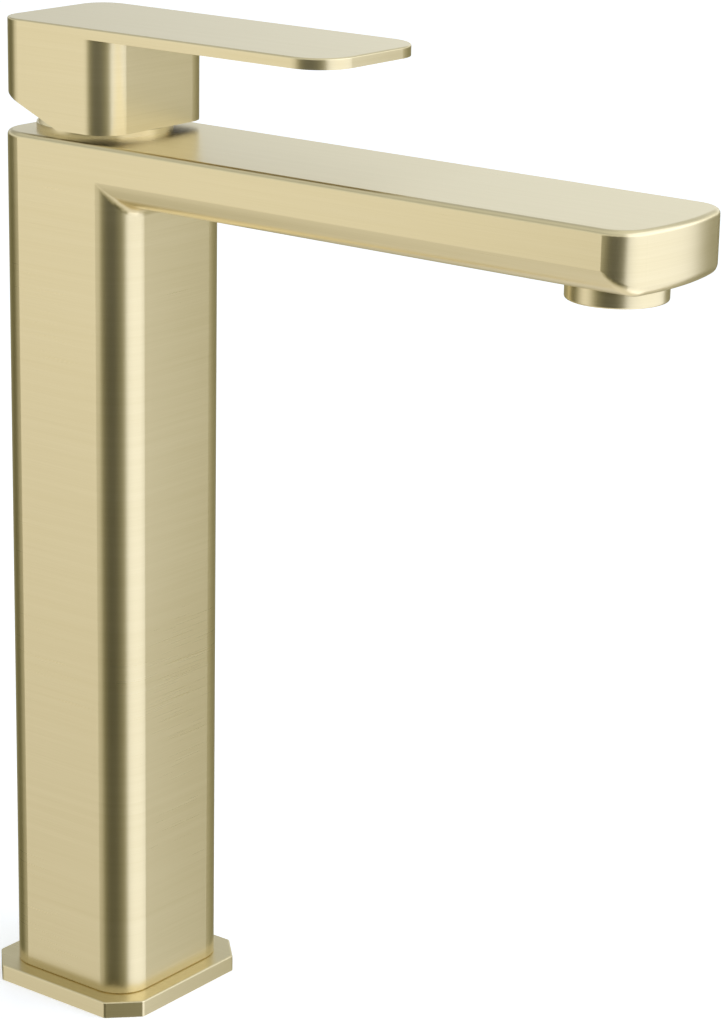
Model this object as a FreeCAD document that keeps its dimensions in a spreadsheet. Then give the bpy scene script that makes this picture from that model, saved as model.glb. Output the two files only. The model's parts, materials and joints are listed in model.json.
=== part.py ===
import FreeCAD, Part
import math
import os
import re
import Sketcher
from FreeCAD import Vector

# Tall single-lever basin mixer, in millimetres: a square column with an integral flat spout, a lever on
# top of a 35 mm ceramic cartridge, and an aerator under the spout's tip.
# Frame: +Z up, spout towards -Y, origin on the column's axis in the plane of the deck it stands on.

SIZES = {
    # column and spout, one hollow body
    "column_width": 50.0,
    "column_corner": 10.5,
    "body_top": 271.2,
    "wall": 2.2,
    "top_wall": 3.0,
    "spout_reach": 199.7,
    "spout_thick": 17.8,
    "spout_round": 7.5,
    "spout_tip": 10.0,
    "spout_bow": 80.0,
    "spout_end_round": 3.0,
    "neck_round": 3.0,
    "side_dressing": 0.02,
    "duct_corner": 1.0,
    "top_round": 1.6,
    "edge_round": 0.5,
    "foot_relief": 0.3,
    # base plate and its seal
    "plate_margin": 5.2,
    "plate_thick": 5.2,
    "plate_cut": 8.6,
    "plate_cut_round": 1.2,
    "seal_margin": 1.9,
    "seal_width": 2.6,
    "seal_thick": 1.5,
    "seal_corner": 13.0,
    # foot of the column
    "foot_height": 20.6,
    "spigot_radius": 16.5,
    "inlet_spacing": 15.0,
    "inlet_radius": 4.5,
    "inlet_depth": 14.0,
    "stud_offset": 10.5,
    "stud_radius": 3.4,
    "stud_depth": 18.0,
    # screws that hold the plate to the foot
    "screw_offset": 16.5,
    "screw_radius": 2.0,
    "screw_length": 14.0,
    "screw_head_radius": 3.5,
    "screw_head_height": 2.4,
    "screw_sink": 3.0,
    "screw_key": 1.5,
    "screw_key_floor": 1.0,
    # water tubes
    "tube_radius": 4.5,
    "tube_wall": 0.8,
    "tube_seat": 6.0,
    "port_radius": 3.2,
    # valve block inside the top of the column
    "block_floor": 20.0,
    "passage_height": 7.0,
    "passage_roof": 6.0,
    "channel_width": 14.0,
    "channel_thick": 3.4,
    "channel_gap": 1.8,
    "tube_drop": 8.2,
    # cartridge, set out from the lever's pivot
    "cartridge_back": 3.1,
    "pivot_drop": 5.0,
    "cartridge_radius": 17.4,
    "nut_margin": 1.1,
    "shoulder_drop": 3.0,
    "housing_wall": 2.2,
    "base_height": 6.0,
    "disc_thick": 4.0,
    "disc_gap": 0.7,
    "slider_inset": 0.5,
    "chamber_radius": 6.6,
    "chamber_offset": 3.5,
    "chamber_depth": 2.2,
    "inlet_front": 3.0,
    "outlet_back": 7.0,
    "port_seal_radius": 4.9,
    "port_seal_thick": 1.2,
    "port_seal_gap": 0.3,
    "carrier_gap": 0.6,
    "carrier_plate": 6.0,
    "carrier_boss": 7.0,
    "carrier_boss_radius": 6.0,
    "lip_width": 2.2,
    "lip_drop": 8.7,
    "flange_thick": 3.1,
    "sleeve_rise": 8.0,
    "housing_rise": 6.0,
    "neck_step": 2.9,
    "well_gap": 0.5,
    "stem_width": 7.0,
    "stem_ball_radius": 3.3,
    "stem_ball_drop": 9.0,
    "stem_neck_radius": 2.4,
    "stem_rise": 30.5,
    "stem_foot_drop": 5.5,
    "pin_radius": 1.5,
    "pin_inset": 0.5,
    "nut_height": 4.5,
    "nut_slot": 3.0,
    "nut_slot_depth": 1.5,
    # collar and cartridge cover
    "collar_radius": 20.2,
    "collar_height": 1.8,
    "skirt_wall": 2.2,
    "skirt_gap": 0.5,
    "dome_radius": 20.86,
    "dome_wall": 1.5,
    "dome_mouth": 12.3,
    # lever
    "lever_inset": 1.6,
    "lever_reach": 97.4,
    "lever_gap": 2.2,
    "lever_height": 30.7,
    "lever_thick": 3.2,
    "lever_tip": 11.8,
    "block_front": 18.3,
    "block_corner": 8.8,
    "bevel_start": 1.2,
    "bevel_rise": 9.9,
    "cavity_gap": 0.4,
    "cavity_wall": 2.7,
    "cavity_roof": 3.8,
    "boss_width": 15.0,
    "boss_front": 8.6,
    "boss_back": 8.0,
    "handle_screw_radius": 2.5,
    "handle_screw_length": 10.0,
    "handle_screw_rise": 25.0,
    "handle_key_radius": 1.25,
    "handle_key_depth": 3.3,
    "plug_radius": 3.2,
    "plug_depth": 3.0,
    # outlet
    "aerator_inset": 21.5,
    "aerator_ring_radius": 14.1,
    "aerator_drop": 5.9,
    "aerator_thread_radius": 12.0,
    "aerator_thread_height": 4.3,
    "aerator_wall": 1.5,
    "aerator_lip": 1.0,
    "screen_thick": 0.8,
    "washer_thick": 1.4,
    "washer_width": 3.5,
    "insert_wall": 1.5,
    "insert_floor": 2.0,
    "jet_radius": 1.0,
    "jet_spacing": 3.4,
    "outlet_half_width": 15.0,
    "outlet_front": 14.2,
    "outlet_back_depth": 16.0,
    "outlet_seat": 3.0,
    "outlet_corner": 1.5,
    "outlet_chamber_radius": 9.5,
    "outlet_roof": 2.3,
    # clearances
    "seat_fit": 0.05,
    "thread_fit": 0.1,
    "running_fit": 0.1,
    "socket_fit": 0.2,
    # how far the lever lifts, in degrees, and how far a cut or boss runs past the face that it meets
    "lift_angle": 20.0,
    "run_past": 1.0,
}

# Sizes and places that follow from the ones above.
PLACES = {
    "half_column": "column_width / 2",
    "inner_half": "half_column - wall",
    "inner_corner": "column_corner - wall",
    "insert_half": "inner_half - seat_fit",
    "insert_corner": "inner_corner - seat_fit",
    "column_join": "body_top - spout_thick / 2",
    "spout_under": "body_top - spout_thick",
    "spout_floor": "spout_under + wall",
    "flat_half": "half_column - spout_round",
    "cast_half": "half_column + side_dressing",
    "spout_rise": "sqrt(pow(spout_bow - spout_tip; 2) - pow(cast_half - spout_tip; 2))",
    "plate_half": "half_column + plate_margin",
    "foot_top": "plate_thick + foot_height",
    "inlet_x": "inlet_spacing / 2",
    "inlet_y": "cartridge_back - inlet_front",
    "outlet_y": "cartridge_back + outlet_back",
    "tube_hole": "tube_radius + seat_fit",
    "tube_axis": "body_top - tube_drop",
    "block_top": "body_top - top_wall",
    "pivot": "body_top - pivot_drop",
    "shoulder": "pivot - shoulder_drop",
    "carrier_top": "pivot - carrier_boss",
    "slider_top": "carrier_top - carrier_boss - carrier_plate",
    "slider_bottom": "slider_top - disc_thick + seat_fit",
    "base_top": "slider_top - 2 * disc_thick",
    "seat": "base_top - base_height",
    "block_bottom": "seat - block_floor",
    "passage_bottom": "seat - passage_height - passage_roof",
    "nut_radius": "cartridge_radius + nut_margin",
    "bore_radius": "cartridge_radius + 2 * running_fit",
    "channel_back": "nut_radius - cartridge_back + channel_gap",
    "channel_front": "channel_back + channel_thick",
    "housing_bore": "cartridge_radius - housing_wall",
    "slide_travel": "stem_ball_drop * sin(lift_angle)",
    "disc_radius": "housing_bore - disc_gap",
    "carrier_radius": "housing_bore - slide_travel - carrier_gap",
    "slider_radius": "carrier_radius - slider_inset",
    "sleeve_radius": "housing_bore - lip_width",
    "lip_bore": "sleeve_radius + running_fit",
    "lip_bottom": "pivot - lip_drop",
    "flange_top": "lip_bottom - 2 * running_fit",
    "flange_bottom": "flange_top - flange_thick",
    "housing_neck": "nut_radius - neck_step",
    "nut_thread": "nut_radius - seat_fit",
    "nut_bore": "housing_neck + running_fit",
    "nut_top": "shoulder + nut_height",
    "skirt_bottom": "nut_top + skirt_gap",
    "skirt_bore": "nut_thread - skirt_wall",
    "collar_top": "body_top + collar_height",
    "cavity_radius": "dome_radius + cavity_gap",
    "lever_half": "half_column - lever_inset",
    "lever_bottom": "body_top + lever_gap",
    "lever_top": "lever_bottom + lever_height",
    "plate_under": "lever_top - lever_thick",
    "block_half": "lever_half - cavity_wall",
    "stem_half": "stem_width / 2",
    "stem_socket": "stem_half + seat_fit",
    "stem_foot": "pivot - stem_foot_drop",
    "slot_front": "slide_travel + stem_ball_radius + socket_fit",
    "slot_back": "stem_half / cos(lift_angle) + sleeve_rise * tan(lift_angle) + socket_fit",
    "screw_level": "pivot + handle_screw_rise",
    "handle_screw_start": "cartridge_back + stem_socket",
    "aerator_reach": "spout_reach - aerator_inset",
    "aerator_bottom": "spout_under - aerator_drop",
    "aerator_neck": "spout_under - seat_fit",
    "aerator_top": "aerator_neck + aerator_thread_height",
    "aerator_bore": "aerator_thread_radius - aerator_wall",
    "screen_bottom": "aerator_bottom + screen_thick",
    "screen_top": "screen_bottom + screen_thick",
    "outlet_thread": "aerator_thread_radius + thread_fit",
    "outlet_shoulder": "aerator_top + washer_thick",
    "outlet_bottom": "spout_floor + seat_fit",
    "outlet_top": "body_top - wall - seat_fit",
    "outlet_rear": "aerator_reach - outlet_back_depth",
}

NEAR = 1e-4
MEET = 0.01
WORD = re.compile(r"[a-z_]+[a-z0-9_]*")

doc = FreeCAD.newDocument("basin_mixer")
sheet = doc.addObject("Spreadsheet::Sheet", "sizes")
for row, (word, size) in enumerate(SIZES.items(), start=1):
    sheet.set(f"A{row}", word)
    sheet.set(f"B{row}", str(size))
    sheet.setAlias(f"B{row}", word)
doc.recompute()

nodes = []


# --- reading the sheet -------------------------------------------------------------------------------

def formula(text):
    """Writes an expression in the words above as one that reads the sheet."""
    def spell(match):
        word = match.group(0)
        if word in PLACES:
            return "(" + formula(PLACES[word]) + ")"
        return "sizes." + word if word in SIZES else word
    return WORD.sub(spell, text)


def number(text):
    return float(sheet.evalExpression(formula(text)))


def bind(thing, prop, text):
    thing.setExpression(prop, formula(text))


# --- bodies, sketches and features -------------------------------------------------------------------

def new_body(label, x="0", y="0", z="0", node=True):
    body = doc.addObject("PartDesign::Body", label)
    body.Label = label
    for axis, text in zip("xyz", (x, y, z)):
        bind(body, f"Placement.Base.{axis}", text)
    if node:
        nodes.append(body)
    return body


def origin_plane(body, role):
    return next(part for part in body.Origin.OriginFeatures if part.Role == role)


def new_sketch(body, plane="XY_Plane", level="0"):
    sketch = body.newObject("Sketcher::SketchObject", body.Label + "_sketch")
    sketch.AttachmentSupport = [(origin_plane(body, plane), "")]
    sketch.MapMode = "FlatFace"
    bind(sketch, "AttachmentOffset.Base.z", level)
    return sketch


def hold(sketch, kind, text, *where):
    """Adds a driving dimension and ties it to the sheet."""
    index = sketch.addConstraint(Sketcher.Constraint(kind, *where, number(text)))
    sketch.setExpression(f"Constraints[{index}]", formula(text))


def arc_between(start, end, radius):
    """The shorter arc from start to end, and whether it runs anticlockwise."""
    anticlockwise = radius > 0
    first, last = (start, end) if anticlockwise else (end, start)
    chord = last - first
    rise = math.sqrt(max(radius ** 2 - (chord.Length / 2) ** 2, 0))
    sideways = Vector(-chord.y, chord.x, 0).normalize()
    centre = (first + last) / 2 + sideways * rise
    angles = [math.atan2(point.y - centre.y, point.x - centre.x) for point in (first, last)]
    if angles[1] < angles[0]:
        angles[1] += 2 * math.pi
    circle = Part.Circle(centre, Vector(0, 0, 1), abs(radius))
    return Part.ArcOfCircle(circle, *angles), anticlockwise


def draw_outline(sketch, corners):
    """Closed profile through corners, each (x, y) or (x, y, radius): a radius makes the edge that
    arrives at the corner an arc, anticlockwise where it is positive."""
    points = [Vector(number(corner[0]), number(corner[1]), 0) for corner in corners]
    edges = []
    for index, corner in enumerate(corners):
        start, end = points[index - 1], points[index]
        if len(corner) == 2:
            edges.append((sketch.addGeometry(Part.LineSegment(start, end), False), 1, 2))
            continue
        arc, anticlockwise = arc_between(start, end, number(corner[2]))
        edge = sketch.addGeometry(arc, False)
        edges.append((edge, 1, 2) if anticlockwise else (edge, 2, 1))
    for index, (edge, begin, finish) in enumerate(edges):
        before, _, before_finish = edges[index - 1]
        sketch.addConstraint(Sketcher.Constraint("Coincident", before, before_finish, edge, begin))
        hold(sketch, "DistanceX", corners[index][0], -1, 1, edge, finish)
        hold(sketch, "DistanceY", corners[index][1], -1, 1, edge, finish)
        if len(corners[index]) == 3:
            hold(sketch, "Radius", f"abs({corners[index][2]})", edge)


def draw_rectangle(sketch, left, right, front, back):
    draw_outline(sketch, [(left, front), (right, front), (right, back), (left, back)])


def draw_rounded(sketch, half, front, back, front_corner, back_corner):
    """Rectangle about the sketch's vertical axis, with rounded corners."""
    draw_outline(sketch, [
        (f"{half} - {front_corner}", front),
        (half, f"{front} + {front_corner}", front_corner),
        (half, f"{back} - {back_corner}"),
        (f"{half} - {back_corner}", back, back_corner),
        (f"{back_corner} - {half}", back),
        (f"-({half})", f"{back} - {back_corner}", back_corner),
        (f"-({half})", f"{front} + {front_corner}"),
        (f"{front_corner} - {half}", front, front_corner),
    ])


def draw_bowed(sketch, half, front, back, tip, bow, back_corner):
    """Rounded rectangle whose front edge bows outwards between its two corners."""
    rise = f"sqrt(pow({bow} - {tip}; 2) - pow({half} - {tip}; 2))"
    meet_x = f"({half} - {tip}) * {bow} / ({bow} - {tip})"
    meet_y = f"{front} + {bow} - {rise} * {bow} / ({bow} - {tip})"
    turn_y = f"{front} + {bow} - {rise}"
    draw_outline(sketch, [
        (meet_x, meet_y, bow),
        (half, turn_y, tip),
        (half, f"{back} - {back_corner}"),
        (f"{half} - {back_corner}", back, back_corner),
        (f"{back_corner} - {half}", back),
        (f"-({half})", f"{back} - {back_corner}", back_corner),
        (f"-({half})", turn_y),
        (f"-({meet_x})", meet_y, tip),
    ])


def draw_circle(sketch, radius, x="0", y="0"):
    centre = Vector(number(x), number(y), 0)
    edge = sketch.addGeometry(Part.Circle(centre, Vector(0, 0, 1), number(radius)), False)
    hold(sketch, "Radius", radius, edge)
    hold(sketch, "DistanceX", x, -1, 1, edge, 3)
    hold(sketch, "DistanceY", y, -1, 1, edge, 3)


def draw_hexagon(sketch, radius, x, y):
    corners = []
    for step in range(6):
        across, along = math.cos(math.radians(60 * step)), math.sin(math.radians(60 * step))
        corners.append((f"{x} + {across:.6f} * {radius}", f"{y} + {along:.6f} * {radius}"))
    draw_outline(sketch, corners)


def pad(body, sketch, length, reverse=False, midplane=False):
    feature = body.newObject("PartDesign::Pad", body.Label + "_pad")
    feature.Profile = sketch
    feature.Reversed = reverse
    feature.Midplane = midplane
    bind(feature, "Length", length)
    doc.recompute()


def check_cut(body, volume):
    if body.Shape.Volume >= volume - NEAR:
        raise RuntimeError(f"a cut in {body.Label} removed nothing")


def pocket(body, sketch, length=None, reverse=False):
    """Cuts against the sketch's normal, or along it where reverse is set; with no length, both ways
    through everything."""
    volume = body.Shape.Volume
    feature = body.newObject("PartDesign::Pocket", body.Label + "_pocket")
    feature.Profile = sketch
    feature.Reversed = reverse
    if length is None:
        feature.Type = "ThroughAll"
        feature.Midplane = True
    else:
        bind(feature, "Length", length)
    doc.recompute()
    check_cut(body, volume)


def turn(body, corners, cut=False):
    """Revolves a profile of (radius, height) corners about the body's vertical axis."""
    volume = body.Shape.Volume if cut else 0
    sketch = new_sketch(body, "XZ_Plane")
    draw_outline(sketch, corners)
    kind = "Groove" if cut else "Revolution"
    feature = body.newObject("PartDesign::" + kind, body.Label + "_" + kind.lower())
    feature.Profile = sketch
    feature.ReferenceAxis = (sketch, ["V_Axis"])
    feature.Angle = 360
    doc.recompute()
    if cut:
        check_cut(body, volume)


def soften(body, radius, wanted, kind="Fillet"):
    """Rounds or chamfers the edges for which wanted(box of the edge) is true."""
    tip = body.Tip
    names = [f"Edge{number_}" for number_, edge in enumerate(tip.Shape.Edges, start=1)
             if wanted(edge.BoundBox)]
    if not names:
        raise RuntimeError(f"no edge of {body.Label} to soften")
    feature = body.newObject("PartDesign::" + kind, body.Label + "_" + kind.lower())
    feature.Base = (tip, names)
    bind(feature, "Radius" if kind == "Fillet" else "Size", radius)
    doc.recompute()
    if "Invalid" in feature.State:
        raise RuntimeError(f"an edge of {body.Label} cannot be softened")


def at_level(level):
    """Edges that lie flat at one height."""
    height = number(level)
    return lambda box: abs(box.ZMin - height) < NEAR and abs(box.ZMax - height) < NEAR


def upright(box):
    return box.XLength < NEAR and box.YLength < NEAR


def ring(label, outer, inner, bottom, top, x="0", y="0"):
    """Plain round ring or tube, standing upright."""
    body = new_body(label, x, y)
    turn(body, [(inner, bottom), (outer, bottom), (outer, top), (inner, top)])
    return body


# --- base plate, seal, foot and screws ---------------------------------------------------------------

def screw_places():
    return [(f"{side} * screw_offset", f"{end} * screw_offset") for side in (-1, 1) for end in (-1, 1)]


def make_base_plate():
    body = new_body("base_plate")
    outline = new_sketch(body)
    near = "plate_half - plate_cut"
    draw_outline(outline, [
        (near, "-(plate_half)"), ("plate_half", f"-({near})"), ("plate_half", near), (near, "plate_half"),
        (f"-({near})", "plate_half"), ("-(plate_half)", near), ("-(plate_half)", f"-({near})"),
        (f"-({near})", "-(plate_half)"),
    ])
    pad(body, outline, "plate_thick")
    soften(body, "plate_cut_round", upright)
    soften(body, "edge_round", at_level("plate_thick"))
    spigot = new_sketch(body)
    draw_circle(spigot, "spigot_radius + running_fit")
    pocket(body, spigot)
    groove = new_sketch(body)
    draw_seal(groove, "seat_fit")
    pocket(body, groove, "seal_thick", reverse=True)
    heads, shanks = new_sketch(body), new_sketch(body)
    for x, y in screw_places():
        draw_circle(heads, "screw_head_radius + running_fit", x, y)
        draw_circle(shanks, "screw_radius + running_fit", x, y)
    pocket(body, heads, "screw_sink", reverse=True)
    pocket(body, shanks)


def draw_seal(sketch, gap):
    """Square ring with rounded corners, larger by the gap on both sides."""
    for half, corner in ((f"plate_half - seal_margin + {gap}", f"seal_corner + {gap}"),
                         (f"plate_half - seal_margin - seal_width - {gap}",
                          f"seal_corner - seal_width - {gap}")):
        half, corner = f"({half})", f"({corner})"
        draw_rounded(sketch, half, f"-{half}", half, corner, corner)


def make_deck_gasket():
    body = new_body("deck_gasket")
    outline = new_sketch(body)
    draw_seal(outline, "0")
    pad(body, outline, "seal_thick")


def make_base_insert():
    body = new_body("base_insert")
    outline = new_sketch(body, level="plate_thick")
    draw_rounded(outline, "insert_half", "-(insert_half)", "insert_half", "insert_corner", "insert_corner")
    pad(body, outline, "foot_height")
    spigot = new_sketch(body)
    draw_circle(spigot, "spigot_radius")
    pad(body, spigot, "plate_thick")
    inlets, channels = new_sketch(body), new_sketch(body)
    sockets = new_sketch(body, level="foot_top")
    for side in (-1, 1):
        draw_circle(inlets, "inlet_radius", f"{side} * inlet_x", "inlet_y")
        draw_circle(channels, "port_radius", f"{side} * inlet_x", "inlet_y")
        draw_circle(sockets, "tube_hole", f"{side} * inlet_x", "inlet_y")
    pocket(body, inlets, "inlet_depth", reverse=True)
    pocket(body, channels)
    pocket(body, sockets, "tube_seat")
    stud = new_sketch(body)
    draw_circle(stud, "stud_radius", "0", "-stud_offset")
    pocket(body, stud, "stud_depth", reverse=True)
    threads = new_sketch(body, level="plate_thick")
    for x, y in screw_places():
        draw_circle(threads, "screw_radius + seat_fit", x, y)
    pocket(body, threads, "screw_length", reverse=True)


def make_plate_screws():
    body = new_body("plate_screws")
    body.AllowCompound = True
    shanks = new_sketch(body, level="screw_sink")
    heads = new_sketch(body, level="screw_sink - screw_head_height")
    keys = new_sketch(body, level="screw_sink - screw_head_height")
    for x, y in screw_places():
        draw_circle(shanks, "screw_radius", x, y)
        draw_circle(heads, "screw_head_radius", x, y)
        draw_hexagon(keys, "screw_key", x, y)
    pad(body, heads, "screw_head_height")
    pad(body, shanks, "screw_length")
    pocket(body, keys, "screw_head_height - screw_key_floor", reverse=True)


# --- column and spout --------------------------------------------------------------------------------

def round_spout(body):
    """Rounds the spout's long lower edges, and less strongly the lower edge of its end."""
    under_edges = new_sketch(body, "XZ_Plane")
    for side, bend in ((-1, "spout_round"), (1, "-spout_round")):
        draw_outline(under_edges, [
            (f"{side} * cast_half", "spout_under"),
            (f"{side} * cast_half", "spout_under + spout_round"),
            (f"{side} * (cast_half - spout_round)", "spout_under", bend),
        ])
    pocket(body, under_edges)
    back = number("spout_bow - spout_reach - spout_rise")
    top = number("spout_under + spout_round")
    soften(body, "spout_end_round", lambda box: box.YMax < back + MEET and box.ZMax < top + MEET)


def round_neck(body):
    """Rounds the inner edge where the column's front and front corners meet the spout."""
    low, high = number("spout_under"), number("spout_under + spout_round")
    front, back = number("-(half_column)"), number("column_corner - half_column")
    soften(body, "neck_round", lambda box: low - MEET < box.ZMin and box.ZMax < high + MEET and
           front - MEET < box.YMin and box.YMax < back + MEET)


def dress_sides(body):
    """Takes the casting's two long sides down to the finished width."""
    dressing = new_sketch(body, "XZ_Plane")
    for side in (-1, 1):
        draw_rectangle(dressing, f"{side} * half_column", f"{side} * (cast_half + run_past)",
                       "plate_thick - run_past", "body_top + run_past")
    pocket(body, dressing)


def make_body_shell():
    body = new_body("body_shell")
    slab = new_sketch(body, level="spout_under")
    draw_bowed(slab, "cast_half", "-spout_reach", "half_column", "spout_tip", "spout_bow", "column_corner")
    pad(body, slab, "spout_thick")
    round_spout(body)
    column = new_sketch(body, level="plate_thick")
    draw_rounded(column, "cast_half", "-(half_column)", "half_column", "column_corner", "column_corner")
    pad(body, column, "column_join - plate_thick")
    round_neck(body)
    soften(body, "top_round", at_level("body_top"))
    soften(body, "foot_relief", at_level("plate_thick"), "Chamfer")
    dress_sides(body)

    hollow = new_sketch(body, level="plate_thick")
    draw_rounded(hollow, "inner_half", "-(inner_half)", "inner_half", "inner_corner", "inner_corner")
    pocket(body, hollow, "block_top - plate_thick", reverse=True)
    duct = new_sketch(body, level="spout_floor")
    duct_tip, duct_bow = "(spout_tip - wall)", "(spout_bow - wall)"
    draw_bowed(duct, "flat_half", "wall - spout_reach", "0", duct_tip, duct_bow, "duct_corner")
    pocket(body, duct, "spout_thick - 2 * wall", reverse=True)
    wide = new_sketch(body, level="spout_under + spout_round")
    draw_bowed(wide, "inner_half", "wall - spout_reach", "0", duct_tip, duct_bow, "duct_corner")
    pocket(body, wide, "spout_thick - spout_round - wall", reverse=True)
    mouth = new_sketch(body, level="body_top")
    draw_circle(mouth, "nut_radius + running_fit", "0", "cartridge_back")
    pocket(body, mouth, "top_wall + run_past")
    outlet = new_sketch(body, level="spout_under")
    draw_circle(outlet, "outlet_thread + running_fit", "0", "-aerator_reach")
    pocket(body, outlet, "wall + run_past", reverse=True)


# --- water tubes and blocks --------------------------------------------------------------------------

def make_risers():
    for label, side in (("hot_riser", -1), ("cold_riser", 1)):
        ring(label, "tube_radius", "tube_radius - tube_wall", "foot_top - tube_seat",
             "block_bottom + tube_seat", f"{side} * inlet_x", "inlet_y")


def make_spout_tube():
    body = new_body("spout_tube")
    section = new_sketch(body, "XZ_Plane", "channel_front")
    draw_circle(section, "tube_radius", "0", "tube_axis")
    draw_circle(section, "tube_radius - tube_wall", "0", "tube_axis")
    pad(body, section, "outlet_rear + outlet_seat - (channel_front)")


def make_valve_block():
    body = new_body("valve_block")
    outline = new_sketch(body, level="block_bottom")
    draw_rounded(outline, "insert_half", "-(insert_half)", "insert_half", "insert_corner", "insert_corner")
    pad(body, outline, "block_top - (block_bottom)")
    bore = new_sketch(body, level="block_top")
    draw_circle(bore, "bore_radius", "0", "cartridge_back")
    pocket(body, bore, "block_top - (seat)")
    thread = new_sketch(body, level="block_top")
    draw_circle(thread, "nut_radius", "0", "cartridge_back")
    pocket(body, thread, "block_top - (shoulder)")

    ports, sockets = new_sketch(body, level="block_bottom"), new_sketch(body, level="block_bottom")
    for side in (-1, 1):
        draw_circle(ports, "port_radius", f"{side} * inlet_x", "inlet_y")
        draw_circle(sockets, "tube_hole", f"{side} * inlet_x", "inlet_y")
    pocket(body, ports, "block_floor", reverse=True)
    pocket(body, sockets, "tube_seat", reverse=True)

    outlet = new_sketch(body, level="seat")
    draw_circle(outlet, "port_radius", "0", "outlet_y")
    pocket(body, outlet, "seat - (passage_bottom)")
    passage = new_sketch(body, level="passage_bottom")
    draw_rectangle(passage, "-port_radius", "port_radius", "-(channel_front)", "outlet_y")
    pocket(body, passage, "passage_height", reverse=True)
    channel = new_sketch(body, level="passage_bottom")
    draw_rectangle(channel, "-channel_width / 2", "channel_width / 2", "-(channel_front)", "-(channel_back)")
    pocket(body, channel, "tube_axis + port_radius - (passage_bottom)", reverse=True)
    spout_socket = new_sketch(body, "XZ_Plane", "insert_half")
    draw_circle(spout_socket, "tube_hole", "0", "tube_axis")
    pocket(body, spout_socket, "insert_half - (channel_front) + run_past")


def make_outlet_block():
    body = new_body("outlet_block", y="-aerator_reach")
    outline = new_sketch(body, level="outlet_bottom")
    draw_rectangle(outline, "-outlet_half_width", "outlet_half_width", "-outlet_front", "outlet_back_depth")
    pad(body, outline, "outlet_top - (outlet_bottom)")
    soften(body, "outlet_corner", upright)
    turn(body, [
        ("0", "outlet_bottom - run_past"), ("outlet_thread", "outlet_bottom - run_past"),
        ("outlet_thread", "outlet_shoulder"), ("outlet_chamber_radius", "outlet_shoulder"),
        ("outlet_chamber_radius", "outlet_top - outlet_roof"), ("0", "outlet_top - outlet_roof"),
    ], cut=True)
    tube_end = new_sketch(body, "XZ_Plane", "-outlet_back_depth")
    draw_circle(tube_end, "tube_hole", "0", "tube_axis")
    pocket(body, tube_end, "outlet_seat", reverse=True)
    passage = new_sketch(body, "XZ_Plane", "-outlet_back_depth")
    draw_circle(passage, "port_radius", "0", "tube_axis")
    pocket(body, passage, "outlet_back_depth", reverse=True)


# --- aerator -----------------------------------------------------------------------------------------

def make_aerator():
    housing = new_body("aerator_housing", y="-aerator_reach")
    lip_bore = "aerator_bore - aerator_lip"
    turn(housing, [
        (lip_bore, "aerator_bottom"), ("aerator_ring_radius", "aerator_bottom"),
        ("aerator_ring_radius", "aerator_neck"), ("aerator_thread_radius", "aerator_neck"),
        ("aerator_thread_radius", "aerator_top"), ("aerator_bore", "aerator_top"),
        ("aerator_bore", "screen_bottom"), (lip_bore, "screen_bottom"),
    ])
    soften(housing, "edge_round", lambda box: at_level("aerator_bottom")(box) and
           box.XLength > 2 * number("aerator_thread_radius"))

    screen = new_body("aerator_screen", y="-aerator_reach")
    disc = new_sketch(screen, level="screen_bottom")
    draw_circle(disc, "aerator_bore - seat_fit")
    pad(screen, disc, "screen_thick")
    cut_jets(screen, "screen_bottom")

    insert = new_body("aerator_insert", y="-aerator_reach")
    floor = "screen_top + seat_fit"
    turn(insert, [
        ("0", floor), ("aerator_bore - seat_fit", floor), ("aerator_bore - seat_fit", "aerator_top"),
        ("aerator_bore - insert_wall", "aerator_top"),
        ("aerator_bore - insert_wall", f"{floor} + insert_floor"), ("0", f"{floor} + insert_floor"),
    ])
    cut_jets(insert, floor)

    ring("aerator_washer", "aerator_thread_radius", "aerator_thread_radius - washer_width", "aerator_top",
         "outlet_shoulder", y="-aerator_reach")


def cut_jets(body, level):
    """One middle jet and two hexagonal rings of jets round it."""
    sketch = new_sketch(body, level=level)
    draw_circle(sketch, "jet_radius")
    for step in range(6):
        for out, turned in ((1.0, 0), (2.0, 0), (math.sqrt(3), 30)):
            angle = math.radians(60 * step + turned)
            across, along = out * math.cos(angle), out * math.sin(angle)
            draw_circle(sketch, "jet_radius", f"{across:.6f} * jet_spacing", f"{along:.6f} * jet_spacing")
    pocket(body, sketch, "insert_floor + run_past", reverse=True)


# --- cartridge ---------------------------------------------------------------------------------------

def cartridge_body(label):
    return new_body(label, y="cartridge_back")


def cartridge_ports():
    return [("-(inlet_x)", "-inlet_front"), ("inlet_x", "-inlet_front"), ("0", "outlet_back")]


def make_cartridge_base():
    body = cartridge_body("cartridge_base")
    disc = new_sketch(body, level="seat")
    draw_circle(disc, "cartridge_radius")
    pad(body, disc, "base_height")
    ports, seats = new_sketch(body, level="seat"), new_sketch(body, level="seat")
    for x, y in cartridge_ports():
        draw_circle(ports, "port_radius", x, y)
        draw_circle(seats, "port_seal_radius + seat_fit", x, y)
    pocket(body, ports)
    pocket(body, seats, "port_seal_thick", reverse=True)


def make_inlet_seals():
    body = cartridge_body("inlet_seals")
    body.AllowCompound = True
    rings = new_sketch(body, level="seat")
    for x, y in cartridge_ports():
        draw_circle(rings, "port_seal_radius", x, y)
        draw_circle(rings, "port_radius + port_seal_gap", x, y)
    pad(body, rings, "port_seal_thick")


def make_discs():
    fixed = cartridge_body("fixed_disc")
    disc = new_sketch(fixed, level="base_top")
    draw_circle(disc, "disc_radius")
    pad(fixed, disc, "disc_thick")
    ports = new_sketch(fixed, level="base_top")
    for x, y in cartridge_ports():
        draw_circle(ports, "port_radius", x, y)
    pocket(fixed, ports)

    moving = cartridge_body("moving_disc")
    disc = new_sketch(moving, level="slider_bottom")
    draw_circle(disc, "slider_radius")
    pad(moving, disc, "slider_top - (slider_bottom)")
    chamber = new_sketch(moving, level="slider_bottom")
    draw_circle(chamber, "chamber_radius", "0", "chamber_offset")
    pocket(moving, chamber, "chamber_depth", reverse=True)


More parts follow.
